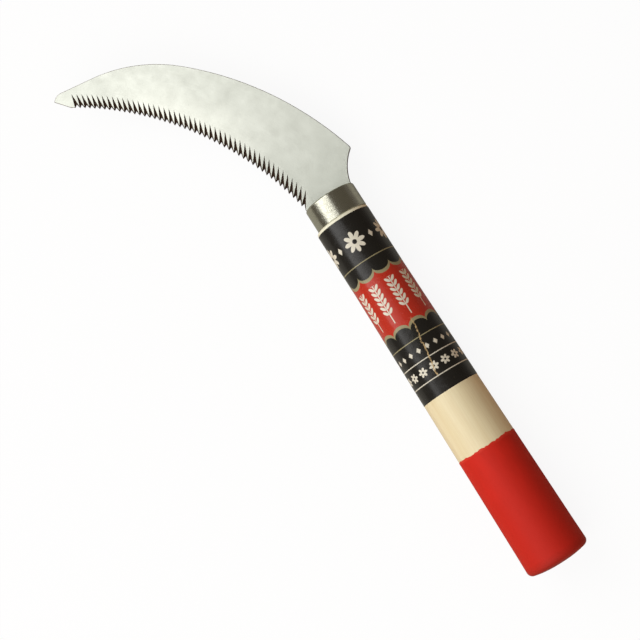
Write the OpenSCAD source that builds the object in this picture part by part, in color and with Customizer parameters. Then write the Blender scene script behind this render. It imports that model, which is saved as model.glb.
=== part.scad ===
// A harvest knife: a curved blade with ground teeth on a turned wooden handle, lying flat.
// X is the handle's axis, from the butt at x = 0 towards the blade. +Y is the toothed side,
// and +Z is the face that the teeth are ground on. All sizes are millimetres.

/* [Handle] */
// Length from the butt to the ferrule's end face
handle_len = 164.9; // [155:0.1:180]
// Diameter of the parallel front of the wood
front_d = 22.5; // [22.2:0.1:25]
// Diameter of the wood at the butt
butt_d = 25.7; // [24:0.1:30]
// Distance from the butt to where the taper ends
taper_len = 127; // [105:1:135]
// Rounding of the butt's edge
butt_round = 2.2; // [1:0.1:4]
// Radius of the butt's slight crown
butt_crown_r = 36; // [32:1:120]
// Width of the flat in the middle of the butt
butt_flat = 5; // [4:0.5:10]
// Rounding of the wood's front shoulder
shoulder_round = 0.8; // [0.3:0.1:0.9]

/* [Ferrule] */
// Length of the ferrule
ferrule_len = 10; // [8:0.5:14]
// Outside diameter of the ferrule
ferrule_d = 21.5; // [20:0.1:22]
// Thickness of the ferrule's metal
ferrule_wall = 0.7; // [0.5:0.1:1]
// Rounding of the ferrule's end
ferrule_round = 0.8; // [0.6:0.1:2]
// Distance of the ferrule and blade from the handle's axis, towards the spine
ferrule_shift = 0.5; // [0:0.1:0.5]

/* [Blade] */
// Thickness of the blade
blade_t = 1.2; // [0.9:0.1:1.6]
// Radius of the toothed edge
edge_r = 139; // [138:0.1:140]
// Radius of the spine over the blade's middle
spine_r = 142; // [141:0.1:143]
// Radius of the spine's front stretch
front_spine_r = 65; // [64:0.1:66]
// Length of the straight behind the nose
nose_straight = 14; // [13:0.5:15]
// Radius of the nose over the point
nose_r = 4.3; // [3:0.1:5]
// Radius of the hollow between the heel and the ferrule
heel_hollow_r = 18.8; // [18:0.1:20]
// Rounding of the heel's corner
heel_round = 1.2; // [0.5:0.1:1.5]

/* [Teeth] */
// Number of teeth
teeth = 48; // [20:1:48]
// Tooth pitch at the point
tip_pitch = 2.06; // [1.9:0.01:2.1]
// Tooth pitch at the heel
heel_pitch = 2.37; // [2.1:0.01:2.4]
// How far the grooves reach in from the edge
groove_reach = 5.6; // [4:0.1:6]
// Fall of a groove's root straight across the edge, in degrees
groove_slope = 11.6; // [9:0.2:12.4]
// Angle between a groove's walls, in degrees
groove_angle = 84; // [70:1:86]
// Lean of the first groove towards the point, in degrees
tip_lean = 28; // [20:1:32]
// Lean of the last groove towards the point, in degrees
heel_lean = 38; // [32:1:42]
// Width of the bevel that is ground along the back of the edge
bevel_w = 1.9; // [1.4:0.1:3.6]
// Thickness left at the edge
edge_land = 0.2; // [0.15:0.05:0.4]

/* [Tang and pins] */
// Length of the tang inside the handle
tang_len = 72; // [60:1:85]
// Width of the tang
tang_w = 12; // [8:0.5:14]
// Diameter of the pins through the tang
pin_d = 3; // [2:0.1:4]
// Distance of the front pin from the ferrule's end face
front_pin = 30; // [24:1:40]
// Distance of the rear pin from the ferrule's end face
rear_pin = 56; // [46:1:58]

/* [Label and dip] */
// Thickness of the printed label
label_t = 0.1; // [0.1:0.02:0.3]
// Distance from the butt to the label
label_from = 76.7; // [60:0.1:90]
// Bare wood between the label and the ferrule
label_gap = 1.3; // [1:0.1:4]
// Width of the label's overlap at the back
label_overlap = 6; // [3:0.5:10]
// Length of the dipped coat at the butt
dip_len = 52; // [30:1:58]
// Thickness of the dipped coat
dip_t = 0.1; // [0.1:0.02:0.4]

/* [Hidden] */
$fn = 96;
ferrule_r = ferrule_d / 2;
tenon_r = ferrule_r - ferrule_wall;
tenon_from = handle_len - ferrule_len;
tenon_to = handle_len - ferrule_wall;
label_to = tenon_from - label_gap;
tang_fit = 0.1;
overhang = 1;
// Directions, in degrees about each arc's centre
edge_start = -34.5;
first_tooth = -35.64;
spine_turn = -43.3;
nose_turn = -10.3;
tip_turn = 53;
// Centres of the outline's arcs, measured from the ferrule's end face
edge_centre = [handle_len - 25.4, 146.8];
edge_end = -acos((handle_len - edge_centre[0]) / edge_r);
spine_centre = [handle_len - 25.9, 119.2];
front_centre = spine_centre + (spine_r - front_spine_r) * [cos(spine_turn), sin(spine_turn)];
nose_centre = front_centre + (front_spine_r - nose_r) * [cos(nose_turn), sin(nose_turn)]
  + nose_straight * [-sin(nose_turn), cos(nose_turn)];
hollow_centre = [handle_len - 3.8, -28.6];
hollow_start = acos((handle_len - hollow_centre[0]) / heel_hollow_r);
// Centre of the heel's rounding, which touches the spine and the hollow
heel_span = spine_centre - hollow_centre;
heel_reach = heel_hollow_r + heel_round;
heel_swing = acos((heel_reach * heel_reach + heel_span * heel_span - pow(spine_r - heel_round, 2))
  / (2 * heel_reach * norm(heel_span)));
hollow_turn = atan2(heel_span[1], heel_span[0]) - heel_swing;
heel_centre = hollow_centre + heel_reach * [cos(hollow_turn), sin(hollow_turn)];
heel_turn = atan2(heel_centre[1] - spine_centre[1], heel_centre[0] - spine_centre[0]);

// Points along an arc, from one direction to another
function arc(centre, r, from, to, steps) =
  [for (i = [0:steps]) centre + r * [cos(from + (to - from) * i / steps), sin(from + (to - from) * i / steps)]];

// Direction of a tooth about the edge's centre: the pitch grows evenly from the point to the heel
function tooth_turn(k) =
  first_tooth - (k * tip_pitch + k * k * (heel_pitch - tip_pitch) / (2 * (teeth - 1))) / edge_r * 180 / PI;

// Radius of the bare wood at a distance from the butt
function wood_r(x) = x >= taper_len ? front_d / 2 : butt_d / 2 + (front_d - butt_d) / 2 * x / taper_len;

// Profile of the butt, set out from the finished surface by a depth: a flat, a crown and a rounded edge
function butt_profile(depth) =
  let (flat_r = butt_flat / 2,
    edge = [wood_r(0) - butt_round, 0],
    swing = asin((edge[0] - flat_r) / (butt_crown_r - butt_round - dip_t)),
    drop = butt_crown_r - (butt_crown_r - butt_round - dip_t) * cos(swing))
  concat([[0, depth], [flat_r, depth]],
    arc([flat_r, butt_crown_r], butt_crown_r - depth, -90 + swing / 4, -90 + swing, 3),
    arc([edge[0], drop], butt_round + dip_t - depth, -90 + swing * 1.5, 0, 8));

// Turns a profile of [radius, distance] points round the handle's axis
module turned(points, angle = 360) {
  rotate([0, 90, 0]) rotate_extrude(angle = angle) polygon(points);
}

// The outline of the blade in front of the ferrule
module blade_outline() {
  polygon(concat(
    arc(hollow_centre, heel_hollow_r, hollow_start, hollow_turn, 10),
    arc(heel_centre, heel_round, hollow_turn - 180, heel_turn, 6),
    arc(spine_centre, spine_r, heel_turn, spine_turn, 24),
    arc(front_centre, front_spine_r, spine_turn, nose_turn, 24),
    arc(nose_centre, nose_r, nose_turn, tip_turn, 8),
    arc(edge_centre, edge_r, edge_start, edge_end, 40)));
}

// One groove, ground from the face down to the edge
module groove(turn, lean) {
  inward = [cos(turn + lean), sin(turn + lean)];
  len = groove_reach / cos(lean);
  slope = atan(tan(groove_slope) * cos(lean));
  inner_end = edge_centre + edge_r * [cos(turn), sin(turn)] + len * inward;
  height = groove_reach * tan(groove_slope) + overhang;
  half_w = height * tan(groove_angle / 2);
  translate([inner_end[0], inner_end[1], blade_t / 2])
    rotate([0, slope, turn + lean + 180])
      rotate([90, 0, 90])
        linear_extrude(len / cos(slope) + overhang)
          polygon([[0, 0], [half_w, height], [-half_w, height]]);
}

// The bevel along the back of the edge, which thins the teeth to their points
module back_bevel() {
  slope = (blade_t - edge_land) / bevel_w;
  translate(edge_centre)
    rotate([0, 0, edge_end])
      rotate_extrude(angle = edge_start - edge_end, $fn = 720)
        polygon([
          [edge_r + bevel_w + overhang, -blade_t / 2 - overhang * slope],
          [edge_r - overhang, blade_t / 2 - edge_land + overhang * slope],
          [edge_r - overhang, -blade_t / 2 - overhang * slope]]);
}

// The tang, square ended, from the ferrule's end face back into the wood
module tang(grow = 0) {
  translate([handle_len - tang_len - grow, -tang_w / 2 - grow, -blade_t / 2 - grow])
    cube([tang_len + grow + overhang, tang_w + 2 * grow, blade_t + 2 * grow]);
}

// Sets its children on the ferrule's own axis
module at_ferrule() {
  translate([0, -ferrule_shift, 0]) children();
}

module pins(r, half_len) {
  for (place = [front_pin, rear_pin])
    translate([handle_len - place, 0, -half_len]) cylinder(r = r, h = 2 * half_len);
}

module blade() {
  color("gainsboro") at_ferrule() difference() {
    union() {
      translate([0, 0, -blade_t / 2]) linear_extrude(blade_t) blade_outline();
      tang();
    }
    back_bevel();
    for (k = [0:teeth - 1]) groove(tooth_turn(k), tip_lean + (heel_lean - tip_lean) * k / (teeth - 1));
    pins(pin_d / 2 + tang_fit, blade_t);
  }
}

// A drawn cup with a slot in its end for the tang
module ferrule() {
  color("darkgray") at_ferrule() difference() {
    turned(concat([[tenon_r, tenon_from], [ferrule_r, tenon_from]],
      arc([ferrule_r - ferrule_round, handle_len - ferrule_round], ferrule_round, 0, 90, 8),
      [[0, handle_len], [0, tenon_to], [tenon_r, tenon_to]]));
    tang(tang_fit);
  }
}

module handle() {
  color("wheat") difference() {
    union() {
      turned(concat(butt_profile(dip_t), [[wood_r(taper_len), taper_len]],
        arc([front_d / 2 - shoulder_round, tenon_from - shoulder_round], shoulder_round, 0, 90, 6),
        [[0, tenon_from]]));
      at_ferrule() turned([[0, taper_len], [tenon_r, taper_len], [tenon_r, tenon_to], [0, tenon_to]]);
    }
    at_ferrule() tang(tang_fit);
    at_ferrule() pins(pin_d / 2, front_d);
  }
}

// Two pins across the wood and the tang, flush under the label
module tang_pins() {
  color("slategray") intersection() {
    at_ferrule() pins(pin_d / 2, front_d);
    turned([[0, label_from], [wood_r(label_from), label_from], [wood_r(taper_len), taper_len],
      [front_d / 2, label_to], [0, label_to]]);
  }
}

// A thin wrap over the wood, doubled where its ends overlap at the back
module label() {
  function skin(inner, outer) = [
    [wood_r(label_from) + inner, label_from], [wood_r(taper_len) + inner, taper_len],
    [wood_r(label_to) + inner, label_to], [wood_r(label_to) + outer, label_to],
    [wood_r(taper_len) + outer, taper_len], [wood_r(label_from) + outer, label_from]];
  overlap_angle = label_overlap / (front_d / 2) * 180 / PI;
  color("firebrick") union() {
    turned(skin(0, label_t));
    turned(skin(label_t / 2, 2 * label_t), overlap_angle);
  }
}

// A dipped coat of paint over the butt, closed at the end
module dip_coat() {
  inside = butt_profile(dip_t);
  color("crimson") turned(concat(butt_profile(0),
    [[wood_r(dip_len) + dip_t, dip_len], [wood_r(dip_len), dip_len]],
    [for (i = [len(inside) - 1:-1:0]) inside[i]]));
}

blade();
ferrule();
handle();
tang_pins();
label();
dip_coat();
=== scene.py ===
import math
import random

import bmesh
import bpy
from bpy.props import FloatProperty, FloatVectorProperty, IntProperty, PointerProperty
from mathutils import Matrix, Vector


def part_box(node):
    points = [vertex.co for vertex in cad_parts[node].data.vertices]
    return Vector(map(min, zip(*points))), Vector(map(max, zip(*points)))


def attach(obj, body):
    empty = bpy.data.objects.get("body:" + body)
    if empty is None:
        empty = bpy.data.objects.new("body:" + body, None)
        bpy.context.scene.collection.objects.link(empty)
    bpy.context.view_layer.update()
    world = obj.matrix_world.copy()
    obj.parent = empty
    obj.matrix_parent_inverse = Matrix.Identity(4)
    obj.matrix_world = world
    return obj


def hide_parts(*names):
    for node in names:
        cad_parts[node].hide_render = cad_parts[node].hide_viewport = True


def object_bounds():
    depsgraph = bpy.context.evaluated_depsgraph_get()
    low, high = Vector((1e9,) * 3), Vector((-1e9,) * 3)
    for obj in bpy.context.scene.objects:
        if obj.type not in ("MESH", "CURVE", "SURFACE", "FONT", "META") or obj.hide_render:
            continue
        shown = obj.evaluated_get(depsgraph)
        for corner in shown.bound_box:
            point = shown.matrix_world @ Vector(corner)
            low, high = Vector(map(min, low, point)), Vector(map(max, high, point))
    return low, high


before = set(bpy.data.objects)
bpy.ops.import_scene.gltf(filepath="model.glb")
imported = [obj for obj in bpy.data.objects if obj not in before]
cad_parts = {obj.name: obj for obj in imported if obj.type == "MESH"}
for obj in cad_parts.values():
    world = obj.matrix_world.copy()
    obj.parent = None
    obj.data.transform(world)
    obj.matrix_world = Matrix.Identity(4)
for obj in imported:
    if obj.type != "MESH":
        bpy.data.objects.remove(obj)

bl_info = {
    "name": "Harvest Knife",
    "version": (1, 0, 0),
    "blender": (4, 5, 0),
    "location": "3D View > Sidebar > Harvest Knife",
    "description": "Dresses a harvest knife with its blade, ferrule, turned handle, label and dipped butt",
    "category": "Object",
}

MM = 0.001
OVERHANG = 1 * MM
TANG_PLAY = 0.1 * MM
TENON_PLAY = 0.02 * MM
FLOOR_GAP = 0.02 * MM
# Lays an upright prism along x, with its outline's x along y and its outline's y up
LAID = Matrix(((0, 0, 1, 0), (1, 0, 0, 0), (0, 1, 0, 0), (0, 0, 0, 1)))
BODY = "root"
CAD_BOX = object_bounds()
FERRULE_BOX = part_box("ferrule")
LABEL_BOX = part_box("label")
COAT_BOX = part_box("dip_coat")


# Settings

def length(name, description, millimetres):
    """A length setting, stored in metres."""
    return FloatProperty(
        name=name, description=description, default=millimetres * MM, unit="LENGTH", precision=5)


def degrees(name, description, value):
    """An angle setting."""
    return FloatProperty(name=name, description=description, default=math.radians(value), subtype="ANGLE")


def colour(name, description, value):
    """A colour setting, as linear red, green and blue."""
    return FloatVectorProperty(
        name=name, description=description, default=value, subtype="COLOR", min=0, max=1)


def position(name, description, value):
    """A place on the stage, in metres from the butt."""
    return FloatVectorProperty(name=name, description=description, default=value, subtype="TRANSLATION")


def factor(name, description, value):
    """A share from 0 to 1."""
    return FloatProperty(name=name, description=description, default=value, min=0, max=1, subtype="FACTOR")


class HandleSettings(bpy.types.PropertyGroup):
    """Sizes and colours of the turned handle."""
    front: length("Front", "From the butt to the ferrule's end face", FERRULE_BOX[1].x / MM)
    front_radius: length("Front radius", "Radius of the parallel front of the wood", 11.25)
    butt_radius: length("Butt radius", "Radius of the wood at the butt", 12.85)
    taper: length("Taper", "From the butt to where the taper ends", 127)
    butt_round: length("Butt round", "Rounding of the butt's edge", 2.2)
    crown_radius: length("Crown radius", "Radius of the butt's slight crown", 36)
    flat_radius: length("Flat radius", "Radius of the flat in the middle of the butt", 2.5)
    shoulder_round: length("Shoulder round", "Rounding of the wood's front shoulder", 0.8)
    wood_light: colour("Light wood", "The pale wood between the grain lines", (0.87, 0.785, 0.52))
    wood_dark: colour("Dark wood", "The grain lines and the deeper streaks", (0.80, 0.685, 0.42))
    # Bare wood behind the ferrule, painted paler and cooler: in part a painted highlight on the narrow ring
    wood_front_and_highlight: colour("Front of the wood", "The paler ring behind the ferrule", (0.91, 0.92, 0.73))


class FerruleSettings(bpy.types.PropertyGroup):
    """Sizes and colours of the ferrule."""
    start: length("Start", "From the butt to the ferrule's open end", FERRULE_BOX[0].x / MM)
    radius: length("Radius", "Outside radius", (FERRULE_BOX[1].y - FERRULE_BOX[0].y) / 2 / MM)
    shift: length(
        "Shift", "How far its axis is beside the handle's", (FERRULE_BOX[1].y + FERRULE_BOX[0].y) / 2 / MM)
    wall: length("Wall", "Thickness of the metal", 0.7)
    round: length("Rounding", "Rounding of the closed end", 0.8)
    metal: colour("Plating", "The clean plated metal", (0.60, 0.595, 0.50))
    dull_and_painted_shade: colour("Dull plating", "The dulled spots of the plating", (0.40, 0.40, 0.32))


class BladeSettings(bpy.types.PropertyGroup):
    """Sizes and colours of the blade, in its own outline's arcs."""
    thickness: length("Thickness", "Thickness of the steel", 1.2)
    edge_radius: length("Edge radius", "Radius of the toothed edge", 139)
    edge_back: length("Edge back", "Edge centre behind the ferrule's end face", 25.4)
    edge_side: length("Edge side", "Edge centre beside the handle's axis", 146.8)
    edge_start: degrees("Edge start", "Direction of the point from the edge's centre", -34.5)
    spine_radius: length("Spine radius", "Radius of the spine over the blade's middle", 142)
    spine_back: length("Spine back", "Spine centre behind the ferrule's end face", 25.9)
    spine_side: length("Spine side", "Spine centre beside the handle's axis", 119.2)
    spine_turn: degrees("Spine turn", "Direction where the spine's two arcs meet", -43.3)
    front_radius: length("Front radius", "Radius of the spine's front stretch", 65)
    nose_turn: degrees("Nose turn", "Direction where the front stretch ends", -10.3)
    nose_straight: length("Nose straight", "Length of the straight behind the nose", 14)
    nose_radius: length("Nose radius", "Radius of the nose over the point", 4.3)
    tip_turn: degrees("Tip turn", "Direction where the nose ends", 53)
    hollow_radius: length("Hollow radius", "Radius of the hollow behind the heel", 18.8)
    hollow_back: length("Hollow back", "Hollow centre behind the ferrule's end face", 3.8)
    hollow_side: length("Hollow side", "Hollow centre beside the handle's axis", -28.6)
    heel_round: length("Heel round", "Rounding of the heel's corner", 1.2)
    edge_break: length("Edge break", "Rounding along the sheared edges", 0.17)
    teeth: IntProperty(name="Teeth", description="Number of teeth", default=48, min=2)
    first_tooth: degrees("First tooth", "Direction of the first groove from the edge's centre", -35.64)
    tip_pitch: length("Tip pitch", "Tooth pitch at the point", 2.06)
    heel_pitch: length("Heel pitch", "Tooth pitch at the heel", 2.37)
    groove_reach: length("Groove reach", "How far the grooves reach in from the edge", 5.6)
    groove_slope: degrees("Groove slope", "Fall of a groove's root straight across the edge", 11.6)
    groove_angle: degrees("Groove angle", "Angle between a groove's walls", 84)
    tip_lean: degrees("Lean at the point", "Lean of the first groove towards the point", 28)
    heel_lean: degrees("Lean at the heel", "Lean of the last groove towards the point", 38)
    bevel: length("Back bevel", "Width of the bevel along the back of the edge", 1.9)
    edge_land: length("Edge land", "Thickness left at the edge", 0.2)
    tang_length: length("Tang length", "Length of the tang inside the handle", 72)
    tang_width: length("Tang width", "Width of the tang", 12)
    pin_radius: length("Pin radius", "Radius of the pin holes", 1.6)
    front_pin: length("Front pin", "From the ferrule's end face to the front pin", 30)
    rear_pin: length("Rear pin", "From the ferrule's end face to the rear pin", 56)
    steel: colour("Steel", "The satin face", (0.55, 0.565, 0.51))
    steel_dark: colour("Dark steel", "The darker mottling of the face", (0.512, 0.527, 0.472))
    # Painted highlight: the brighter face beside the teeth stands in for the lamp's reflection there
    steel_painted_highlight: colour("Bright steel", "The face rubbed bright beside the teeth", (0.63, 0.642, 0.578))
    # Painted shade: the darker face at the heel and towards the spine
    steel_painted_shade: colour("Dull steel", "The duller face at the heel and the spine", (0.47, 0.49, 0.435))
    side: colour("Sheared side", "The sheared edge of the sheet", (0.11, 0.065, 0.05))
    # Painted shade: the groove walls' near-black colour stands in for the shade and dark reflections in the
    # grooves
    groove: colour("Groove", "The ground walls of the teeth", (0.042, 0.026, 0.017))


class LabelSettings(bpy.types.PropertyGroup):
    """Sizes and colours of the wrapped label."""
    start: length("Start", "From the butt to the label's rear edge", LABEL_BOX[0].x / MM)
    end: length("End", "From the butt to the label's front edge", LABEL_BOX[1].x / MM)
    thickness: length("Thickness", "Thickness of the film", 0.07)
    gap: length("Gap", "Glue under the film", 0.02)
    overlap: length("Overlap", "Width of the overlap at the back", 6)
    black: colour("Black", "The two dark bands", (0.014, 0.013, 0.011))
    red: colour("Red", "The band in the middle", (0.50, 0.032, 0.016))
    gold: colour("Gold", "Rules and borders", (0.33, 0.30, 0.17))
    cream: colour("Cream", "Ears, flowers and diamonds", (0.76, 0.74, 0.62))
    flaked: colour("Flaked", "Where the print has flaked along a crease", (0.52, 0.38, 0.19))


class CoatSettings(bpy.types.PropertyGroup):
    """Sizes and colours of the dipped coat."""
    end: length("End", "From the butt to the coat's edge", COAT_BOX[1].x / MM)
    thickness: length("Thickness", "Thickness of the paint", 0.1)
    ragged: length("Ragged", "How far the edge wanders", 0.4)
    bead: length("Bead", "Height of the bead along the edge", 0.06)
    paint: colour("Paint", "The fresh paint", (0.62, 0.022, 0.012))
    thin_paint: colour("Thin paint", "The thinner paint along the edge", (0.72, 0.06, 0.035))
    # Painted shade towards the butt; the same colour also gives real random waves of thicker paint
    thick_paint_and_butt_shade: colour("Thick paint", "The deeper paint towards the butt", (0.535, 0.02, 0.011))
    # Painted shade over the butt's rounded edge
    painted_butt_shade: colour("Butt paint", "The deepest paint, over the butt's rounded edge", (0.31, 0.018, 0.01))


class PinSettings(bpy.types.PropertyGroup):
    """Colour of the pins."""
    steel: colour("Steel", "Drawn wire", (0.5, 0.5, 0.5))


class StageSettings(bpy.types.PropertyGroup):
    """The floor, the lamps and the camera."""
    floor: colour("Floor", "The pale floor, as it lights what lies on it", (0.72, 0.49, 0.33))
    floor_mirrored: colour("Floor mirrored", "The pale floor, as metal mirrors it", (0.37, 0.365, 0.31))
    floor_seen: colour("Floor seen", "The pale floor, as it is seen", (0.95, 0.95, 0.95))
    floor_size: length("Floor size", "Side of the floor", 6000)
    floor_glow: factor("Floor glow", "Share of plain white that a direct look at the floor shows", 0.92)
    metal_glow: factor("Glow in metal", "Share of plain white that metal shows of the floor", 0.08)
    surround: colour("Surround", "The dim room, as it lights what lies in it", (0.145, 0.09, 0.05))
    surround_mirrored: colour("Surround mirrored", "The dim room, as metal mirrors it", (0.115, 0.1, 0.079))
    dim_from: length("Dim from", "Where the floor that metal mirrors is as dim as the room", -65)
    dim_to: length("Dim to", "Where the floor that metal mirrors is at its palest", -30)
    key_place: position("Key place", "Middle of the soft lamp beyond the blade", (0.72, 0.455, 0.826))
    key_watts: FloatProperty(name="Key power", description="Its power", default=8.4, unit="POWER")
    side_place: position("Side place", "Middle of the soft lamp beyond the butt", (-0.46, 0.455, 0.82))
    side_watts: FloatProperty(name="Side power", description="Its power", default=8.4, unit="POWER")
    lamp_long: length("Lamp length", "Side of each lamp along the handle", 1050)
    lamp_wide: length("Lamp width", "Its other side", 1160)
    camera_place: position("Camera place", "Where the camera stands", (0.03614, -0.08925, 0.67342))
    camera_aim: position("Camera aim", "The point that the camera looks at", (0.12704, 0.02823, 0))
    camera_turn: degrees("Camera turn", "Direction of the picture's top, seen from above", -32.84)
    camera_lens: FloatProperty(
        name="Lens", description="Focal length in millimetres", default=100.1, unit="CAMERA")


class KnifeSettings(bpy.types.PropertyGroup):
    """Everything that a user may change."""
    handle: PointerProperty(type=HandleSettings, name="Handle", description="The turned handle")
    ferrule: PointerProperty(type=FerruleSettings, name="Ferrule", description="The ferrule")
    blade: PointerProperty(type=BladeSettings, name="Blade", description="The blade")
    label: PointerProperty(type=LabelSettings, name="Label", description="The wrapped label")
    coat: PointerProperty(type=CoatSettings, name="Coat", description="The dipped coat")
    pins: PointerProperty(type=PinSettings, name="Pins", description="The pins")
    stage: PointerProperty(type=StageSettings, name="Stage", description="Floor, lamps and camera")


# Shapes

def arc(centre, radius, start, end, steps):
    """Points along an arc, from one direction to another."""
    turns = [start + (end - start) * i / steps for i in range(steps + 1)]
    return [centre + radius * unit(turn) for turn in turns]


def unit(turn):
    """The flat direction at an angle."""
    return Vector((math.cos(turn), math.sin(turn)))


def new_object(name, mesh):
    """Makes an object of a bmesh and links it to the scene."""
    data = bpy.data.meshes.new(name)
    mesh.to_mesh(data)
    mesh.free()
    made = bpy.data.objects.new(name, data)
    bpy.context.scene.collection.objects.link(made)
    return made


def finish_piece(name, mesh, materials, node):
    """Makes a piece of a bmesh, shades it smooth between sharp edges and ties it to the frame."""
    bmesh.ops.recalc_face_normals(mesh, faces=mesh.faces)
    piece = new_object(name, mesh)
    for material in materials:
        piece.data.materials.append(material)
    shade(piece)
    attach(piece, BODY)
    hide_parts(node)
    return piece


def shade(piece, sharp=math.radians(35)):
    """Smooth shading, broken at edges sharper than an angle and round broad flat faces."""
    broad = 50 * MM * MM
    mesh = bmesh.new()
    mesh.from_mesh(piece.data)
    for face in mesh.faces:
        face.smooth = True
    for edge in mesh.edges:
        flat = any(face.calc_area() > broad for face in edge.link_faces)
        edge.smooth = edge.is_manifold and not flat and edge.calc_face_angle(0) < sharp
    mesh.to_mesh(piece.data)
    mesh.free()


def cut(piece, mesh):
    """Cuts a bmesh's shape out of a piece. Cut walls keep the cutter's material number."""
    bmesh.ops.recalc_face_normals(mesh, faces=mesh.faces)
    cutter = new_object("cutter", mesh)
    modifier = piece.modifiers.new("cut", "BOOLEAN")
    modifier.object = cutter
    modifier.operation = "DIFFERENCE"
    modifier.solver = "MANIFOLD"
    bpy.context.view_layer.update()
    evaluated = piece.evaluated_get(bpy.context.evaluated_depsgraph_get())
    result = bpy.data.meshes.new_from_object(evaluated)
    if not result.polygons or len(result.polygons) == len(piece.data.polygons):
        raise RuntimeError("the cut in " + piece.name + " changed nothing")
    piece.modifiers.clear()
    spent = (piece.data, cutter.data)
    piece.data = result
    result.name = piece.name
    bpy.data.objects.remove(cutter)
    for data in spent:
        bpy.data.meshes.remove(data)


def bridge(mesh, first, second, material=0):
    """Joins two rings of corners with faces. A ring of one corner makes a fan."""
    count = max(len(first), len(second))
    for k in range(count):
        j = (k + 1) % count
        corners = [first[k % len(first)], first[j % len(first)]]
        corners += [second[j % len(second)], second[k % len(second)]]
        mesh.faces.new(list(dict.fromkeys(corners))).material_index = material


def add_prism(mesh, outline, height, matrix, material=0):
    """Adds an upright prism over an outline, from z = 0, and places it with a matrix."""
    low = [mesh.verts.new(matrix @ Vector((x, y, 0))) for x, y in outline]
    high = [mesh.verts.new(matrix @ Vector((x, y, height))) for x, y in outline]
    mesh.faces.new(low[::-1]).material_index = material
    mesh.faces.new(high).material_index = material
    bridge(mesh, low, high, material)


def box_outline(x0, x1, y0, y1):
    """The four corners of a rectangle."""
    return [(x0, y0), (x1, y0), (x1, y1), (x0, y1)]


def lathe(profile, segments, centre_y=0.0, vary=None):
    """Turns a profile of (distance along the handle, radius) points into a bmesh round the handle.
    vary(distance, radius, turn) may move each point."""
    mesh = bmesh.new()
    rings = []
    for along, radius in profile:
        if radius == 0:
            rings.append([mesh.verts.new((along, centre_y, 0))])
            continue
        ring = []
        for k in range(segments):
            turn = 2 * math.pi * k / segments
            x, r = vary(along, radius, turn) if vary else (along, radius)
            ring.append(mesh.verts.new((x, centre_y + r * math.cos(turn), r * math.sin(turn))))
        rings.append(ring)
    for first, second in zip(rings, rings[1:]):
        bridge(mesh, first, second)
    return mesh


def wood_radius(handle, along):
    """Radius of the bare wood at a distance from the butt."""
    share = min(along / handle.taper, 1)
    return handle.butt_radius + (handle.front_radius - handle.butt_radius) * share


def butt_profile(handle, paint, depth):
    """Profile of the butt, set in by a depth: a flat, a crown and a rounded edge."""
    steps = 8
    flat = handle.flat_radius
    rim = wood_radius(handle, 0) - handle.butt_round
    crown = handle.crown_radius
    reach = crown - handle.butt_round - paint
    swing = math.asin((rim - flat) / reach)
    drop = crown - reach * math.cos(swing)
    turn = -math.pi / 2 + swing
    face = arc(Vector((flat, crown)), crown - depth, -math.pi / 2 + swing / steps, turn, steps)
    corner = arc(Vector((rim, drop)), handle.butt_round + paint - depth, turn, 0, 14)
    return [(depth, 0), (depth, flat)] + [(y, x) for x, y in face + corner[1:]]


# Materials

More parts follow.
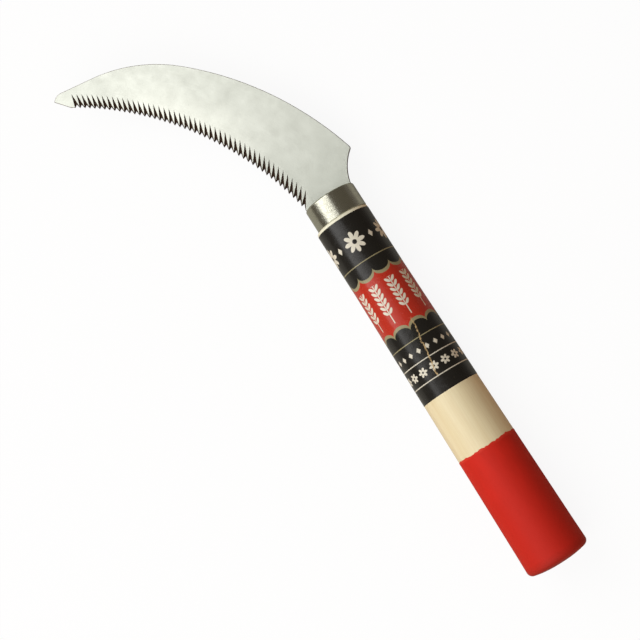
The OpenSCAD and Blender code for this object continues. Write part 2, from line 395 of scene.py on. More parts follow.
class Graph:
    """Adds shader nodes to one material, with short names for the kinds used here."""

    def __init__(self, name):
        self.material = bpy.data.materials.new(name)
        self.material.use_nodes = True
        self.nodes = self.material.node_tree.nodes
        self.links = self.material.node_tree.links
        self.surface = self.nodes["Principled BSDF"]

    def put(self, socket, value):
        """Links an output to a socket, or sets the socket's own value."""
        if isinstance(value, bpy.types.NodeSocket):
            self.links.new(value, socket)
        elif hasattr(value, "__len__") and len(value) == 3 and len(socket.default_value) == 4:
            socket.default_value = (*value, 1)
        else:
            socket.default_value = value

    def math(self, operation, *values):
        """A Math node's output."""
        node = self.nodes.new("ShaderNodeMath")
        node.operation = operation
        for socket, value in zip(node.inputs, values):
            self.put(socket, value)
        return node.outputs[0]

    def vector_math(self, operation, *values):
        """A Vector Math node's vector, or its number for LENGTH."""
        node = self.nodes.new("ShaderNodeVectorMath")
        node.operation = operation
        for socket, value in zip(node.inputs, values):
            self.put(socket, value)
        return node.outputs["Value"] if operation == "LENGTH" else node.outputs["Vector"]

    def millimetres(self, stretch=(1, 1, 1)):
        """The place on the knife in millimetres, stretched along each axis."""
        place = self.nodes.new("ShaderNodeTexCoord").outputs["Object"]
        return self.vector_math("MULTIPLY", place, [s / MM for s in stretch])

    def split(self, vector):
        """The x, y and z of a vector."""
        node = self.nodes.new("ShaderNodeSeparateXYZ")
        self.put(node.inputs[0], vector)
        return node.outputs

    def join(self, x, y, z=0.0):
        """A vector from x, y and z."""
        node = self.nodes.new("ShaderNodeCombineXYZ")
        for socket, value in zip(node.inputs, (x, y, z)):
            self.put(socket, value)
        return node.outputs[0]

    def noise(self, vector, scale, detail=2.0, roughness=0.5):
        """Smooth noise from 0 to 1."""
        node = self.nodes.new("ShaderNodeTexNoise")
        values = (("Vector", vector), ("Scale", scale), ("Detail", detail), ("Roughness", roughness))
        for name, value in values:
            self.put(node.inputs[name], value)
        return node.outputs["Fac"]

    def remap(self, value, low, high, to_low=0.0, to_high=1.0):
        """A value stretched from one span to another, and held inside it."""
        node = self.nodes.new("ShaderNodeMapRange")
        node.clamp = True
        for socket, number in zip(node.inputs, (value, low, high, to_low, to_high)):
            self.put(socket, number)
        return node.outputs[0]

    def mix(self, share, first, second):
        """A colour between two colours."""
        node = self.nodes.new("ShaderNodeMix")
        node.data_type = "RGBA"
        self.put(node.inputs["Factor"], share)
        self.put(node.inputs[6], first)
        self.put(node.inputs[7], second)
        return node.outputs[2]

    def bump(self, height, distance):
        """A bumped normal from a height, with its distance in metres."""
        node = self.nodes.new("ShaderNodeBump")
        for name, value in (("Strength", 1.0), ("Distance", distance), ("Height", height)):
            self.put(node.inputs[name], value)
        return node.outputs["Normal"]

    def finish(self, **values):
        """Sets the surface's sockets, with underscores for spaces, and returns the material."""
        for name, value in values.items():
            self.put(self.surface.inputs[name.replace("_", " ")], value)
        return self.material


def wood_material(handle):
    """Pale close-grained wood under a clear lacquer."""
    g = Graph("handle_wood")
    streaks = g.noise(g.millimetres((0.02, 0.35, 0.35)), 1.0, detail=3)
    lines = g.noise(g.millimetres((0.05, 2.6, 2.6)), 1.0, detail=4, roughness=0.6)
    pores = g.noise(g.millimetres((0.35, 7.0, 7.0)), 1.0, detail=2)
    grain = g.math("ADD", g.math("MULTIPLY", streaks, 0.5), g.math("MULTIPLY", lines, 0.5))
    tone = g.mix(g.remap(grain, 0.38, 0.66), handle.wood_light, handle.wood_dark)
    flecks = g.remap(pores, 0.66, 0.78, 0, 0.35)
    # The ring behind the ferrule is painted paler and cooler than the rest of the wood, in part as a
    # painted highlight of the light it catches
    label_end = LABEL_BOX[1].x / MM
    front = g.remap(g.split(g.millimetres())[0], label_end - 0.6, label_end)
    tone = g.mix(front, tone, handle.wood_front_and_highlight)
    return g.finish(
        Base_Color=g.mix(flecks, tone, [0.75 * c for c in handle.wood_dark]),
        Roughness=g.remap(lines, 0.3, 0.7, 0.38, 0.5),
        Coat_Weight=0.25,
        Coat_Roughness=0.22,
        Normal=g.bump(g.math("ADD", lines, pores), 0.00002))


def plate_material(ferrule):
    """Polished plating, slightly dulled, with fine scratches round it."""
    g = Graph("ferrule_plate")
    place = g.millimetres()
    clouds = g.noise(place, 0.9, detail=4, roughness=0.65)
    spots = g.noise(place, 1.7, detail=3)
    scratches = g.noise(g.millimetres((9.0, 0.5, 0.5)), 1.0, detail=3)
    dull_and_painted_shade = g.math("MAXIMUM", g.remap(spots, 0.62, 0.70, 0, 0.6), g.remap(clouds, 0.45, 0.7, 0, 0.45))
    rough = g.math("ADD", g.remap(clouds, 0.3, 0.7, 0.17, 0.27), g.remap(scratches, 0.4, 0.7, 0, 0.05))
    return g.finish(
        Base_Color=g.mix(dull_and_painted_shade, ferrule.metal, ferrule.dull_and_painted_shade),
        Metallic=1.0,
        Roughness=rough,
        Normal=g.bump(g.math("ADD", g.math("MULTIPLY", clouds, 2.0), scratches), 0.00002))


def steel_face_material(blade, centre):
    """Satin stainless with a fine grain along the blade's curve and faint mottling, with a painted
    highlight beside the teeth and painted shade at the heel and towards the spine.
    """
    g = Graph("blade_face_steel")
    place = g.millimetres()
    from_centre = g.vector_math("SUBTRACT", place, [centre.x / MM, centre.y / MM, 0])
    parts = g.split(from_centre)
    turn = g.math("ARCTAN2", parts[1], parts[0])
    across = g.vector_math("LENGTH", from_centre)
    along = g.math("MULTIPLY", turn, blade.edge_radius / MM)
    grain = g.noise(g.join(g.math("MULTIPLY", along, 0.12), g.math("MULTIPLY", across, 5.0)), 1.0, detail=4)
    mottle = g.noise(place, 0.16, detail=5, roughness=0.62)
    spots = g.noise(place, 0.9, detail=3)
    tone = g.math("ADD", g.math("MULTIPLY", mottle, 0.7), g.math("MULTIPLY", grain, 0.3))
    face = g.mix(g.remap(tone, 0.38, 0.64), blade.steel, blade.steel_dark)
    # Painted highlight beside the teeth around the blade's middle, and painted shade at the heel and
    # towards the spine
    from_edge = g.math("SUBTRACT", across, blade.edge_radius / MM)
    painted_highlight_turn = math.radians(-54)
    from_middle = g.math("ABSOLUTE", g.math("SUBTRACT", turn, painted_highlight_turn))
    beside_middle = g.remap(from_middle, math.radians(5), math.radians(15), 1, 0)
    painted_highlight = g.math("MULTIPLY", g.remap(from_edge, 5, 17, 1, 0), beside_middle)
    heel = g.remap(turn, math.radians(-80), math.radians(-68), 0.8, 0)
    dull_and_painted_shade = g.math("MAXIMUM", heel, g.remap(from_edge, 18, 34, 0, 0.5))
    face = g.mix(dull_and_painted_shade, g.mix(painted_highlight, face, blade.steel_painted_highlight), blade.steel_painted_shade)
    specks = g.remap(spots, 0.70, 0.76, 0, 0.3)
    return g.finish(
        Base_Color=g.mix(specks, face, [0.8 * c for c in blade.steel_dark]),
        Metallic=1.0,
        Roughness=g.remap(tone, 0.35, 0.65, 0.36, 0.44),
        Normal=g.bump(g.math("ADD", grain, mottle), 0.00001))


def dark_steel_material(name, tone, metallic, rough, specular):
    """Steel left rough by the shear or the grinding wheel, and darker than the face; the near black of the
    groove walls is painted shade.
    """
    g = Graph(name)
    scratches = g.noise(g.millimetres((2.5, 2.5, 7.0)), 1.0, detail=4, roughness=0.7)
    share = g.remap(scratches, 0.35, 0.7)
    return g.finish(
        Base_Color=g.mix(share, tone, [min(1.7 * c, 1) for c in tone]),
        Metallic=metallic,
        Specular_IOR_Level=specular,
        Roughness=g.remap(scratches, 0.3, 0.7, rough, rough + 0.15),
        Normal=g.bump(scratches, 0.00002))


def paint_material(coat):
    """Satin dipped paint, thinner and brighter along its edge, with painted shade darkening it towards the
    butt and over the butt's rounded edge.
    """
    g = Graph("dip_paint")
    place = g.millimetres()
    waves = g.noise(g.millimetres((0.25, 0.6, 0.6)), 0.5, detail=2)
    peel = g.noise(place, 1.4, detail=2)
    specks = g.noise(place, 4.5, detail=1)
    along = g.split(place)[0]
    end = coat.end / MM
    thin = g.remap(g.math("ADD", along, g.math("MULTIPLY", waves, 2.0)), end - 0.6, end + 1.2)
    # Painted shade: darker from 45 mm down to 5 mm from the butt, and darkest over the butt's rounded edge
    depth = g.mix(g.remap(along, 5, 45), coat.thick_paint_and_butt_shade, coat.paint)
    tone = g.mix(g.remap(waves, 0.35, 0.65, 0, 0.5), depth, coat.thick_paint_and_butt_shade)
    tone = g.mix(g.remap(along, 0, 5), coat.painted_butt_shade, tone)
    dusty = g.mix(g.remap(specks, 0.72, 0.78, 0, 0.25), tone, coat.thin_paint)
    return g.finish(
        Base_Color=g.mix(thin, dusty, coat.thin_paint),
        Roughness=g.remap(peel, 0.3, 0.7, 0.55, 0.65),
        Specular_IOR_Level=0.15,
        Normal=g.bump(g.math("ADD", peel, waves), 0.00003))


def pin_material(pins):
    """Drawn wire, cut flush."""
    g = Graph("pin_steel")
    lines = g.noise(g.millimetres((6.0, 6.0, 0.3)), 1.0, detail=3)
    return g.finish(
        Base_Color=g.mix(lines, pins.steel, [0.8 * c for c in pins.steel]),
        Metallic=1.0,
        Roughness=g.remap(lines, 0.3, 0.7, 0.3, 0.45),
        Normal=g.bump(lines, 0.00001))


class Print:
    """The label's printed motifs, in millimetres on the flat film: around, and down from its front edge."""

    def __init__(self, graph):
        self.g = graph
        node = graph.nodes.new("ShaderNodeUVMap")
        node.uv_map = "wrap"
        parts = graph.split(graph.vector_math("MULTIPLY", node.outputs[0], [1 / MM, 1 / MM, 1]))
        self.around = parts[0]
        self.down = parts[1]

    def both(self, *masks):
        """Where all the masks are."""
        found = masks[0]
        for mask in masks[1:]:
            found = self.g.math("MULTIPLY", found, mask)
        return found

    def either(self, *masks):
        """Where any of the masks is."""
        found = masks[0]
        for mask in masks[1:]:
            found = self.g.math("MAXIMUM", found, mask)
        return found

    def below(self, value, limit, soft=0.08):
        """1 where a value is under its limit, with a soft edge."""
        low = self.g.math("SUBTRACT", limit, value)
        return self.g.remap(low, -soft, soft)

    def rule(self, at, width):
        """A line across the film at a distance from the front edge."""
        offset = self.g.math("ABSOLUTE", self.g.math("SUBTRACT", self.down, at))
        return self.below(offset, width / 2)

    def cell(self, value, pitch, start=0.0):
        """The distance from the middle of each repeat."""
        return self.g.math("SUBTRACT", self.g.math("WRAP", value, pitch + start, start), start + pitch / 2)

    def rosettes(self, at, radius, pitch, petals):
        """A row of round flowers with a bare eye."""
        g = self.g
        x = self.cell(self.around, pitch)
        y = g.math("SUBTRACT", self.down, at)
        reach = g.vector_math("LENGTH", g.join(x, y))
        turn = g.math("MULTIPLY", g.math("ARCTAN2", y, x), petals / 2)
        lobe = g.math("ABSOLUTE", g.math("COSINE", turn))
        petal = g.math("MULTIPLY_ADD", lobe, 0.55 * radius, 0.45 * radius)
        eye = self.below(0.22 * radius, reach)
        return self.both(self.below(reach, petal), eye)

    def diamonds(self, at, half_width, half_height, pitch, start=0.0):
        """A row of small diamonds."""
        g = self.g
        x = g.math("ABSOLUTE", self.cell(self.around, pitch, start))
        y = g.math("ABSOLUTE", g.math("SUBTRACT", self.down, at))
        total = g.math("ADD", g.math("DIVIDE", x, half_width), g.math("DIVIDE", y, half_height))
        return self.below(total, 1.0, 0.15)

    def scallop(self, pitch, depth):
        """The height of a row of round arches."""
        x = self.g.math("DIVIDE", self.cell(self.around, pitch), pitch / 2)
        arch = self.g.math("SQRT", self.g.math("SUBTRACT", 1.0, self.g.math("MULTIPLY", x, x)))
        return self.g.math("MULTIPLY", arch, depth)

    def ears(self, top, bottom, pitch, spacing):
        """Ears of grain standing side by side, each a stem with pairs of slanting grains."""
        g = self.g
        stalk = 4
        aside = g.math("ABSOLUTE", self.cell(self.around, pitch))
        under_top = self.below(top, self.down)
        inside = self.both(under_top, self.below(self.down, bottom))
        stem = self.both(self.below(aside, 0.2), under_top, self.below(self.down, bottom + stalk))
        slant = g.math("MULTIPLY_ADD", aside, 0.75, self.down)
        grain_x = g.math("DIVIDE", g.math("SUBTRACT", aside, 1.15), 0.95)
        grain_y = g.math("DIVIDE", self.cell(slant, spacing), 0.36 * spacing)
        grain = g.vector_math("LENGTH", g.join(grain_x, grain_y))
        return self.either(stem, self.both(inside, self.below(grain, 1.0, 0.12)))

    def crease(self, top, bottom, start, slant):
        """A slanting crease where the print has flaked, broken along its length."""
        g = self.g
        wander = g.noise(g.join(0.0, g.math("MULTIPLY", self.down, 0.35)), 1.0, detail=3)
        line = g.math("MULTIPLY_ADD", g.math("SUBTRACT", self.down, top), slant, start)
        line = g.math("ADD", line, g.math("MULTIPLY_ADD", wander, 1.6, -0.8))
        aside = g.math("ABSOLUTE", g.math("SUBTRACT", self.around, line))
        place = g.join(g.math("MULTIPLY", self.around, 1.2), self.down)
        flakes = g.noise(place, 1.3, detail=4, roughness=0.7)
        width = g.remap(flakes, 0.42, 0.66, 0.0, 0.55)
        inside = self.both(self.below(top, self.down, 0.6), self.below(self.down, bottom, 0.6))
        return self.both(inside, self.below(aside, width, 0.1))


def label_material(label):
    """Glossy printed film: black, red and black bands with gold scallops, ears, flowers and diamonds."""
    g = Graph("label_film")
    p = Print(g)
    red_from = 23.0
    red_to = 50.0
    arches = p.scallop(7.3, 2.6)
    upper = g.math("ADD", arches, red_from)
    lower = g.math("SUBTRACT", red_to, arches)
    red = p.both(p.below(upper, p.down), p.below(p.down, lower))
    border = p.either(p.rule(upper, 1.3), p.rule(lower, 1.3))
    gold = p.either(border, p.rule(18.6, 0.35), p.rule(54.2, 0.35))
    cream = p.either(
        p.rosettes(10.4, 4.3, 14.6, 8),
        p.diamonds(10.4, 1.0, 1.5, 14.6, 7.3),
        p.ears(28.4, 41.0, 7.3, 2.1),
        p.diamonds(58.6, 0.9, 1.2, 3.65),
        p.rule(62.4, 0.35),
        p.rosettes(66.4, 1.9, 4.87, 6),
        p.rule(70.4, 0.35))
    ink = g.mix(red, label.black, label.red)
    ink = g.mix(gold, ink, label.gold)
    ink = g.mix(cream, ink, label.cream)
    place = g.millimetres()
    scuffs = g.noise(g.millimetres((0.7, 2.4, 2.4)), 1.0, detail=4, roughness=0.7)
    clouds = g.noise(place, 0.5, detail=3)
    worn = g.remap(scuffs, 0.69, 0.76, 0, 0.35)
    ink = g.mix(worn, ink, label.gold)
    return g.finish(
        Base_Color=g.mix(p.crease(46.5, 70.5, 39.0, -0.14), ink, label.flaked),
        Roughness=g.remap(clouds, 0.3, 0.7, 0.2, 0.3),
        Normal=g.bump(g.math("ADD", clouds, scuffs), 0.000015))


def floor_material(stage):
    """A pale floor that takes the shadow, and looks near white when seen directly."""
    g = Graph("pale_floor")
    paths = g.nodes.new("ShaderNodeLightPath").outputs
    seen = paths["Is Camera Ray"]
    in_metal = g.math("MAXIMUM", paths["Is Glossy Ray"], paths["Is Transmission Ray"])
    lit = g.remap(g.split(g.millimetres())[1], stage.dim_from / MM, stage.dim_to / MM)
    mirrored = g.mix(lit, stage.surround_mirrored, stage.floor_mirrored)
    unseen = g.mix(in_metal, stage.floor, mirrored)
    g.finish(Base_Color=g.mix(seen, unseen, stage.floor_seen), Roughness=0.9, Specular_IOR_Level=0.1)
    glow = g.nodes.new("ShaderNodeEmission")
    glow.inputs["Color"].default_value = (1, 1, 1, 1)
    blend = g.nodes.new("ShaderNodeMixShader")
    direct = g.math("MULTIPLY", seen, stage.floor_glow)
    g.put(blend.inputs[0], g.math("MULTIPLY_ADD", in_metal, stage.metal_glow, direct))
    g.put(blend.inputs[1], g.surface.outputs[0])
    g.put(blend.inputs[2], glow.outputs[0])
    output = next(n for n in g.nodes if n.type == "OUTPUT_MATERIAL")
    g.put(output.inputs["Surface"], blend.outputs[0])
    return g.material


# The blade's outline and teeth, in the row's own plane

def blade_arcs(blade, handle):
    """The centres and turns that the blade's arcs share."""
    front = handle.front
    edge = Vector((front - blade.edge_back, blade.edge_side))
    spine = Vector((front - blade.spine_back, blade.spine_side))
    hollow = Vector((front - blade.hollow_back, blade.hollow_side))
    fore = spine + (blade.spine_radius - blade.front_radius) * unit(blade.spine_turn)
    nose = (fore + (blade.front_radius - blade.nose_radius) * unit(blade.nose_turn)
            + blade.nose_straight * unit(blade.nose_turn + math.pi / 2))
    span = spine - hollow
    reach = blade.hollow_radius + blade.heel_round
    rest = blade.spine_radius - blade.heel_round
    swing = math.acos((reach * reach + span.length_squared - rest * rest) / (2 * reach * span.length))
    hollow_turn = math.atan2(span.y, span.x) - swing
    heel = hollow + reach * unit(hollow_turn)
    return {
        "edge": edge, "spine": spine, "hollow": hollow, "fore": fore, "nose": nose, "heel": heel,
        "hollow_start": math.acos((front - hollow.x) / blade.hollow_radius),
        "hollow_turn": hollow_turn,
        "heel_turn": math.atan2(heel.y - spine.y, heel.x - spine.x),
        "edge_end": -math.acos((front - edge.x) / blade.edge_radius),
    }


def blade_outline(blade, handle, arcs):
    """The outline of the blade and its tang, counter-clockwise."""
    front = handle.front
    half = blade.tang_width / 2
    rear = front - blade.tang_length
    points = arc(arcs["hollow"], blade.hollow_radius, arcs["hollow_start"], arcs["hollow_turn"], 24)
    points += arc(arcs["heel"], blade.heel_round, arcs["hollow_turn"] - math.pi, arcs["heel_turn"], 10)[1:]
    points += arc(arcs["spine"], blade.spine_radius, arcs["heel_turn"], blade.spine_turn, 60)[1:]
    points += arc(arcs["fore"], blade.front_radius, blade.spine_turn, blade.nose_turn, 40)[1:]
    points += arc(arcs["nose"], blade.nose_radius, blade.nose_turn, blade.tip_turn, 14)
    points += arc(arcs["edge"], blade.edge_radius, blade.edge_start, arcs["edge_end"], 90)
    points += [Vector((front, half)), Vector((rear, half)), Vector((rear, -half)), Vector((front, -half))]
    return points


def inset(outline, distance):
    """The outline moved inwards by a distance."""
    count = len(outline)
    moved = []
    for i, point in enumerate(outline):
        before = (point - outline[i - 1]).normalized()
        after = (outline[(i + 1) % count] - point).normalized()
        inward = Vector((-before.y - after.y, before.x + after.x)).normalized()
        slant = max(inward.dot(Vector((-before.y, before.x))), 0.4)
        moved.append(point + inward * (distance / slant))
    return moved


def sheet(outline, thickness, edge_break, steps, shift):
    """A flat sheet of steel over an outline, with its edges rounded over."""
    mesh = bmesh.new()
    levels = []
    for i in range(steps + 1):
        turn = math.pi / 2 * i / steps
        height = edge_break * (1 - math.cos(turn)) - thickness / 2
        levels.append((edge_break * (1 - math.sin(turn)), height))
    levels += [(depth, -height) for depth, height in reversed(levels)]
    rings = []
    for depth, height in levels:
        rings.append([mesh.verts.new((p.x, p.y + shift, height)) for p in inset(outline, depth)])
    for low, high in zip(rings, rings[1:]):
        bridge(mesh, low, high, material=1)
    mesh.faces.new(rings[0][::-1])
    mesh.faces.new(rings[-1])
    return mesh


def tooth_turn(blade, k):
    """Direction of a groove from the edge's centre: the pitch grows evenly from the point to the heel."""
    growth = (blade.heel_pitch - blade.tip_pitch) / (2 * (blade.teeth - 1))
    return blade.first_tooth - (k * blade.tip_pitch + k * k * growth) / blade.edge_radius


def add_groove(mesh, blade, centre, k, shift):
    """Adds the cutter of one groove, a wedge that slopes down from the face to the edge."""
    turn = tooth_turn(blade, k)
    lean = blade.tip_lean + (blade.heel_lean - blade.tip_lean) * k / (blade.teeth - 1)
    run = blade.groove_reach / math.cos(lean)
    slope = math.atan(math.tan(blade.groove_slope) * math.cos(lean))
    inner = centre + blade.edge_radius * unit(turn) + run * unit(turn + lean)
    rise = blade.groove_reach * math.tan(blade.groove_slope) + OVERHANG
    half = rise * math.tan(blade.groove_angle / 2)
    matrix = (Matrix.Translation((inner.x, inner.y + shift, blade.thickness / 2))
              @ Matrix.Rotation(turn + lean + math.pi, 4, "Z")
              @ Matrix.Rotation(slope, 4, "Y") @ LAID)
    wedge = [(0, 0), (half, rise), (-half, rise)]
    add_prism(mesh, wedge, run / math.cos(slope) + OVERHANG, matrix, material=2)


def add_back_bevel(mesh, blade, arcs, shift):
    """Adds the cutter of the bevel along the back of the edge, swept round the edge's centre."""
    slope = (blade.thickness - blade.edge_land) / blade.bevel
    low = -blade.thickness / 2 - OVERHANG * slope
    section = [
        (blade.edge_radius + blade.bevel + OVERHANG, low),
        (blade.edge_radius - OVERHANG, blade.thickness / 2 - blade.edge_land + OVERHANG * slope),
        (blade.edge_radius - OVERHANG, low),
    ]
    steps = 90
    rings = []
    for i in range(steps + 1):
        turn = arcs["edge_end"] + (blade.edge_start - arcs["edge_end"]) * i / steps
        places = [(arcs["edge"] + radius * unit(turn), height) for radius, height in section]
        rings.append([mesh.verts.new((p.x, p.y + shift, height)) for p, height in places])
    for first, second in zip(rings, rings[1:]):
        bridge(mesh, first, second)
    mesh.faces.new(rings[0])
    mesh.faces.new(rings[-1])


def add_pin_holes(mesh, blade, handle, half_height, shift, material=0):
    """Adds the cutters of the two pin holes."""
    sides = 32
    ring = [blade.pin_radius * unit(2 * math.pi * k / sides) for k in range(sides)]
    for place in (blade.front_pin, blade.rear_pin):
        matrix = Matrix.Translation((handle.front - place, shift, -half_height))
        add_prism(mesh, ring, 2 * half_height, matrix, material)


# Operators

def settings(context):
    """The knife's settings in the scene."""
    return context.scene.harvest_knife


def cut_tang_slot(piece, s, start, end):
    """Cuts the tang's slot out of a piece, with play all round, between two distances from the butt."""
    half = s.blade.tang_width / 2 + TANG_PLAY
    slot = bmesh.new()
    matrix = Matrix.Translation((0, s.ferrule.shift, -s.blade.thickness / 2 - TANG_PLAY))
    add_prism(slot, box_outline(start, end, -half, half), s.blade.thickness + 2 * TANG_PLAY, matrix)
    cut(piece, slot)


class KNIFE_OT_blade(bpy.types.Operator):
    """Cut the blade from sheet, grind its teeth and leave its tang inside the handle"""
    bl_idname = "harvest_knife.blade"
    bl_label = "Blade"

    def execute(self, context):
        """Builds the blade."""
        s = settings(context)
        blade = s.blade
        shift = s.ferrule.shift
        arcs = blade_arcs(blade, s.handle)
        mesh = sheet(blade_outline(blade, s.handle, arcs), blade.thickness, blade.edge_break, 3, shift)
        materials = [
            steel_face_material(blade, arcs["edge"]),
            dark_steel_material("blade_sheared_side", blade.side, 0.7, 0.45, 0.5),
            # The groove walls get a near-black colour as painted shade
            dark_steel_material("blade_groove_painted_shade", blade.groove, 0.0, 0.6, 0.1),
        ]
        piece = finish_piece("blade_steel", mesh, materials, "blade")
        cutter = bmesh.new()
        add_back_bevel(cutter, blade, arcs, shift)
        cut(piece, cutter)
        # Neighbouring grooves overlap, so each pass cuts every other one
        for first in (0, 1):
            cutter = bmesh.new()
            for k in range(first, blade.teeth, 2):
                add_groove(cutter, blade, arcs["edge"], k, shift)
            cut(piece, cutter)
        cutter = bmesh.new()
        add_pin_holes(cutter, blade, s.handle, 2 * MM, shift, material=1)
        cut(piece, cutter)
        shade(piece, math.radians(30))
        return {"FINISHED"}


class KNIFE_OT_ferrule(bpy.types.Operator):
    """Draw the ferrule as a cup with a slot in its end"""
    bl_idname = "harvest_knife.ferrule"
    bl_label = "Ferrule"

    def execute(self, context):
        """Builds the ferrule."""
        s = settings(context)
        ferrule = s.ferrule
        front = s.handle.front
        outer = ferrule.radius
        inner = outer - ferrule.wall
        lip = 0.15 * MM
        middle = Vector((front - ferrule.round, outer - ferrule.round))
        corner = arc(middle, ferrule.round, math.pi / 2, 0, 16)
        inside = [(front - ferrule.wall, 0), (front - ferrule.wall, inner)]
        inside += [(ferrule.start, inner), (ferrule.start, outer - lip)]
        outside = [(ferrule.start + lip, outer)] + [(p.x, p.y) for p in corner] + [(front, 0)]
        mesh = lathe(inside + outside, 256, centre_y=ferrule.shift)
        piece = finish_piece("ferrule_cup", mesh, [plate_material(ferrule)], "ferrule")
        cut_tang_slot(piece, s, front - 2 * MM, front + 2 * MM)
        shade(piece)
        return {"FINISHED"}


class KNIFE_OT_handle(bpy.types.Operator):
    """Turn the wooden handle, with its tenon and the slot for the tang"""
    bl_idname = "harvest_knife.handle"
    bl_label = "Handle"

    def execute(self, context):
        """Builds the wooden handle."""
        s = settings(context)
        handle = s.handle
        ferrule = s.ferrule
        tenon = ferrule.radius - ferrule.wall - TENON_PLAY
        end = handle.front - ferrule.wall
        round_r = handle.shoulder_round
        middle = Vector((ferrule.start - round_r, handle.front_radius - round_r))
        profile = butt_profile(handle, s.coat.thickness, s.coat.thickness)
        profile += [(handle.taper, handle.front_radius)]
        profile += [(p.x, p.y) for p in arc(middle, round_r, math.pi / 2, 0, 10)]
        profile += [(ferrule.start, tenon), (end, tenon), (end, 0)]

        def settle(along, radius, turn):
            """Leans the tenon over to the ferrule's axis."""
            if along < ferrule.start or radius > tenon:
                return along, radius
            return along, radius + ferrule.shift * math.cos(turn)

        mesh = lathe(profile, 192, vary=settle)
        piece = finish_piece("handle_turned_wood", mesh, [wood_material(handle)], "handle")
        rear = handle.front - s.blade.tang_length - TANG_PLAY
        cut_tang_slot(piece, s, rear, handle.front + TANG_PLAY)
        holes = bmesh.new()
        add_pin_holes(holes, s.blade, handle, 2 * handle.front_radius, ferrule.shift)
        cut(piece, holes)
        shade(piece)
        return {"FINISHED"}


class KNIFE_OT_label(bpy.types.Operator):
    """Wrap the printed film round the handle, with its overlap at the back"""
    bl_idname = "harvest_knife.label"
    bl_label = "Label"

    def execute(self, context):
        """Builds the label."""
        s = settings(context)
        label = s.label
        mesh = bmesh.new()
        flat = mesh.loops.layers.uv.new("wrap")
        girth = s.handle.front_radius
        extra = label.overlap / girth
        steps = 260
        stations = [label.start, (label.start + s.handle.taper) / 2, s.handle.taper, label.end]
        ramp = math.radians(20)

        def lift(turn):
            """Height of the film over the wood: it climbs onto its own first edge."""
            share = min(max((turn - 2 * math.pi + ramp) / ramp, 0), 1)
            smooth = share * share * (3 - 2 * share)
            return label.gap + smooth * (label.thickness + label.gap)

        def corner(turn, along, over):
            """A point of the film, under or over it."""
            radius = wood_radius(s.handle, along) + lift(turn) + (label.thickness if over else 0)
            angle = turn - math.pi / 2
            return mesh.verts.new((along, radius * math.cos(angle), radius * math.sin(angle)))

        turns = [(2 * math.pi + extra) * i / steps for i in range(steps + 1)]
        grid = []
        for turn in turns:
            grid.append([[corner(turn, along, over) for along in stations] for over in (False, True)])
        for i in range(steps):
            for k in range(len(stations) - 1):
                for over in (0, 1):
                    here, there = grid[i][over], grid[i + 1][over]
                    face = mesh.faces.new((here[k], there[k], there[k + 1], here[k + 1]))
                    places = ((i, k), (i + 1, k), (i + 1, k + 1), (i, k + 1))
                    for loop, (step, station) in zip(face.loops, places):
                        loop[flat].uv = (turns[step] * girth, label.end - stations[station])
            for k in (0, len(stations) - 1):
                mesh.faces.new((grid[i][0][k], grid[i + 1][0][k], grid[i + 1][1][k], grid[i][1][k]))
        for i in (0, steps):
            for k in range(len(stations) - 1):
                mesh.faces.new((grid[i][0][k], grid[i][0][k + 1], grid[i][1][k + 1], grid[i][1][k]))
        finish_piece("label_film_wrap", mesh, [label_material(label)], "label")
        return {"FINISHED"}


class KNIFE_OT_coat(bpy.types.Operator):
    """Dip the butt in paint, with a ragged beaded edge"""
    bl_idname = "harvest_knife.coat"
    bl_label = "Dipped coat"

    def execute(self, context):
        """Builds the dipped coat."""
        s = settings(context)
        coat = s.coat
        rng = random.Random(7)
        counts = (1, 2, 3, 7, 12, 19, 31, 47)
        waves = [
            (count, rng.uniform(0, 2 * math.pi), rng.uniform(0.5, 1) / count ** 0.3) for count in counts]
        total = sum(size for _, _, size in waves)
        bead_from = 3 * MM
        treads = 5

        def wander(turn):
            """How far the edge falls short at a direction, from 0 to 1."""
            value = sum(size * math.sin(count * turn + phase) for count, phase, size in waves)
            level = (0.5 + value / total) * treads
            tread = math.floor(level)
            # Each tread is level at both ends and steep in the middle
            return (tread + min(max(2.5 * (level - tread) - 0.75, 0), 1)) / treads

        def ragged(along, radius, turn):
            """Draws the last stretch back to the edge's wandering line."""
            share = min(max((along - coat.end + bead_from) / bead_from, 0), 1)
            return along - share * wander(turn) * 2 * coat.ragged, radius

        def over_wood(along, height):
            """A point of the profile at a height over the wood."""
            return along, wood_radius(s.handle, along) + height

        outer = butt_profile(s.handle, coat.thickness, 0)
        inner = butt_profile(s.handle, coat.thickness, coat.thickness)
        for share in (0.2, 0.4, 0.6, 0.8):
            outer.append(over_wood(share * (coat.end - bead_from), coat.thickness))
        for share, height in ((0, 0), (0.5, 0.2), (0.75, 0.7), (0.88, 1.0), (0.96, 0.75)):
            outer.append(over_wood(coat.end - bead_from * (1 - share), coat.thickness + height * coat.bead))
        # The coat ends in a thin edge that reaches a little into the wood
        outer.append(over_wood(coat.end, 0.1 * coat.thickness))
        inner.append(over_wood(coat.end - bead_from, 0))
        inner.append(over_wood(coat.end, -0.01 * MM))
        mesh = lathe(outer + inner[::-1], 320, vary=ragged)
        finish_piece("dipped_paint_coat", mesh, [paint_material(coat)], "dip_coat")
        return {"FINISHED"}


class KNIFE_OT_pins(bpy.types.Operator):
    """Finish the two pins across the tang"""
    bl_idname = "harvest_knife.pins"
    bl_label = "Pins"

    def execute(self, context):
        """Gives the pins their steel."""
        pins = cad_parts["tang_pins"]
        pins.data.materials.clear()
        pins.data.materials.append(pin_material(settings(context).pins))
        return {"FINISHED"}


def look(place, target, up):
    """A matrix that stands at a place and looks at a target, with a direction kept upright."""
    back = (place - target).normalized()
    right = up.cross(back).normalized()
    return Matrix.Translation(place) @ Matrix((right, back.cross(right), back)).transposed().to_4x4()


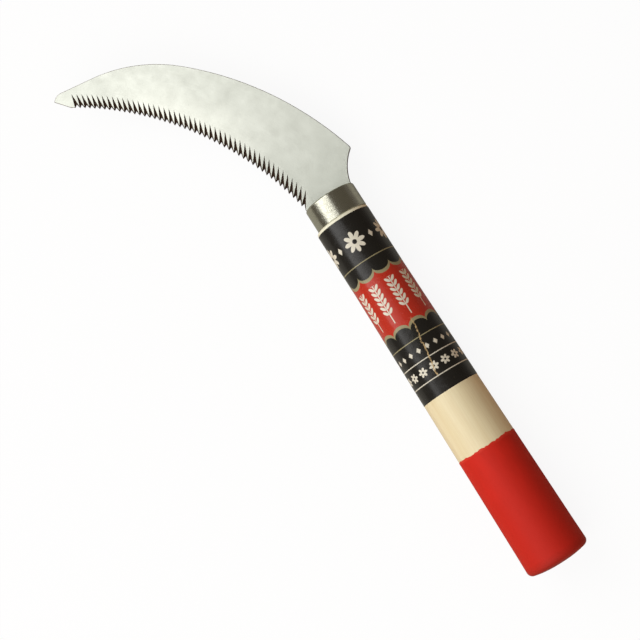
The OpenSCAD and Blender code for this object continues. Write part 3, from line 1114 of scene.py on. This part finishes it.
class KNIFE_OT_stage(bpy.types.Operator):
    """Set the floor, the soft lamps, the dim room and the camera"""
    bl_idname = "harvest_knife.stage"
    bl_label = "Stage"

    def execute(self, context):
        """Builds the stage."""
        stage = settings(context).stage
        scene = context.scene
        half = stage.floor_size / 2
        mesh = bmesh.new()
        level = CAD_BOX[0].z - FLOOR_GAP
        mesh.faces.new([mesh.verts.new((x, y, level)) for x, y in box_outline(-half, half, -half, half)])
        floor = new_object("pale_floor", mesh)
        floor.data.materials.append(floor_material(stage))

        target = Vector(stage.camera_aim)
        for name, place, watts in (("key_softbox", stage.key_place, stage.key_watts),
                                   ("side_softbox", stage.side_place, stage.side_watts)):
            lamp = bpy.data.lights.new(name, "AREA")
            lamp.shape = "RECTANGLE"
            lamp.size = stage.lamp_long
            lamp.size_y = stage.lamp_wide
            lamp.energy = watts
            box = bpy.data.objects.new(name, lamp)
            box.matrix_world = look(Vector(place), target, Vector((0, 1, 0)))
            box.visible_camera = False
            scene.collection.objects.link(box)

        world = bpy.data.worlds.new("dim_room")
        world.use_nodes = True
        nodes = world.node_tree.nodes
        paths = nodes.new("ShaderNodeLightPath").outputs
        socket = nodes["Background"].inputs["Color"]
        for path, colour_seen in (("Is Camera Ray", (1, 1, 1)), ("Is Glossy Ray", stage.surround_mirrored)):
            mix = nodes.new("ShaderNodeMix")
            mix.data_type = "RGBA"
            mix.inputs[6].default_value = (*stage.surround, 1)
            mix.inputs[7].default_value = (*colour_seen, 1)
            world.node_tree.links.new(paths[path], mix.inputs[0])
            world.node_tree.links.new(mix.outputs[2], socket)
            socket = mix.inputs[6]
        scene.world = world

        lens = bpy.data.cameras.new("camera")
        lens.lens = stage.camera_lens
        camera = bpy.data.objects.new("camera", lens)
        up = unit(stage.camera_turn).to_3d()
        camera.matrix_world = look(Vector(stage.camera_place), target, up)
        scene.collection.objects.link(camera)
        scene.camera = camera
        scene.view_settings.view_transform = "Standard"
        return {"FINISHED"}


class KNIFE_PT_panel(bpy.types.Panel):
    """Lists the knife's pieces"""
    bl_idname = "KNIFE_PT_panel"
    bl_label = "Harvest Knife"
    bl_space_type = "VIEW_3D"
    bl_region_type = "UI"
    bl_category = "Harvest Knife"

    def draw(self, context):
        """Draws one button for each operator."""
        for operator in OPERATORS:
            self.layout.operator(operator.bl_idname)


OPERATORS = (
    KNIFE_OT_stage, KNIFE_OT_handle, KNIFE_OT_pins, KNIFE_OT_blade, KNIFE_OT_ferrule, KNIFE_OT_label,
    KNIFE_OT_coat)
GROUPS = (
    HandleSettings, FerruleSettings, BladeSettings, LabelSettings, CoatSettings, PinSettings, StageSettings,
    KnifeSettings)
CLASSES = (*GROUPS, *OPERATORS, KNIFE_PT_panel)


def register():
    """Registers the classes and the settings."""
    for kind in CLASSES:
        bpy.utils.register_class(kind)
    bpy.types.Scene.harvest_knife = PointerProperty(type=KnifeSettings)


def unregister():
    """Removes the settings and the classes."""
    del bpy.types.Scene.harvest_knife
    for kind in reversed(CLASSES):
        bpy.utils.unregister_class(kind)


def main():
    """Builds the dressed knife."""
    register()
    bpy.ops.harvest_knife.stage()
    bpy.ops.harvest_knife.handle()
    bpy.ops.harvest_knife.pins()
    bpy.ops.harvest_knife.blade()
    bpy.ops.harvest_knife.ferrule()
    bpy.ops.harvest_knife.label()
    bpy.ops.harvest_knife.coat()


if __name__ == "__main__":
    main()
